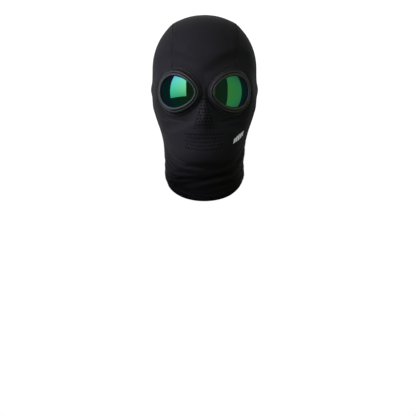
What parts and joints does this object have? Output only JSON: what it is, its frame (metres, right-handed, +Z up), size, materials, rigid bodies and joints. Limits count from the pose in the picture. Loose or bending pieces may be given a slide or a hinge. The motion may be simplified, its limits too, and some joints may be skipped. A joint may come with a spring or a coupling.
{
  "type": "hooded face mask with goggles",
  "caption": "Stretch fabric full-head face mask with round mirrored goggle pods, a breathing zone over nose and mouth and a long neck; each lens unit snaps out of its soft frame.",
  "frame": {"origin": "the point inside the crown where the top of the wearer's head touches the lining", "axes": "+Z up, the face looks along -Y, +X is the wearer's left"},
  "size_m": [0.1708, 0.2096, 0.2902],
  "materials": {
    "shell_fabric": "matt knitted polyester and elastane, charcoal",
    "fleece": "brushed fleece",
    "spacer_mesh": "open knitted mesh",
    "hem_fabric": "folded and twin-stitched edge",
    "seam_thread": "flat overlocked thread",
    "soft_frame": "satin moulded elastomer",
    "bezel_plastic": "semi-gloss moulded ring",
    "seal_rubber": "matt rubber",
    "clamp_plastic": "fine moulded grain",
    "gasket_foam": "open-cell face foam",
    "mirror_lens": "polycarbonate with a green to violet mirror coating",
    "reflective_print": "heat-applied reflective film",
    "label_tape": "woven tape, blank"
  },
  "bodies": {
    "mask": {"centre_panel": "shell_fabric", "side_panel_left": "shell_fabric", "side_panel_right": "shell_fabric", "neck_back_panel": "shell_fabric", "fleece_lining": "fleece", "neck_lining": "fleece", "breathing_mesh": "spacer_mesh", "ear_and_nape_seam": "seam_thread", "crown_seam_left": "seam_thread", "crown_seam_right": "seam_thread", "jaw_seam_left": "seam_thread", "jaw_seam_right": "seam_thread", "reflective_mark": "reflective_print", "size_label": "label_tape", "neck_hem": "hem_fabric", "goggle_frame_left": "soft_frame", "clamp_ring_left": "clamp_plastic", "foam_gasket_left": "gasket_foam", "goggle_frame_right": "soft_frame", "clamp_ring_right": "clamp_plastic", "foam_gasket_right": "gasket_foam"},
    "left_lens_unit": {"lens_left": "mirror_lens", "lens_bezel_left": "bezel_plastic", "lens_seal_left": "seal_rubber"},
    "right_lens_unit": {"lens_right": "mirror_lens", "lens_bezel_right": "bezel_plastic", "lens_seal_right": "seal_rubber"}
  },
  "joints": [
    {"name": "left_lens_release", "type": "slide", "parent": "mask", "child": "left_lens_unit", "axis": [0.3746, -0.9272, 0], "range_m": [0, 0.02]},
    {"name": "right_lens_release", "type": "slide", "parent": "mask", "child": "right_lens_unit", "axis": [-0.3746, -0.9272, 0], "range_m": [0, 0.02]}
  ]
}
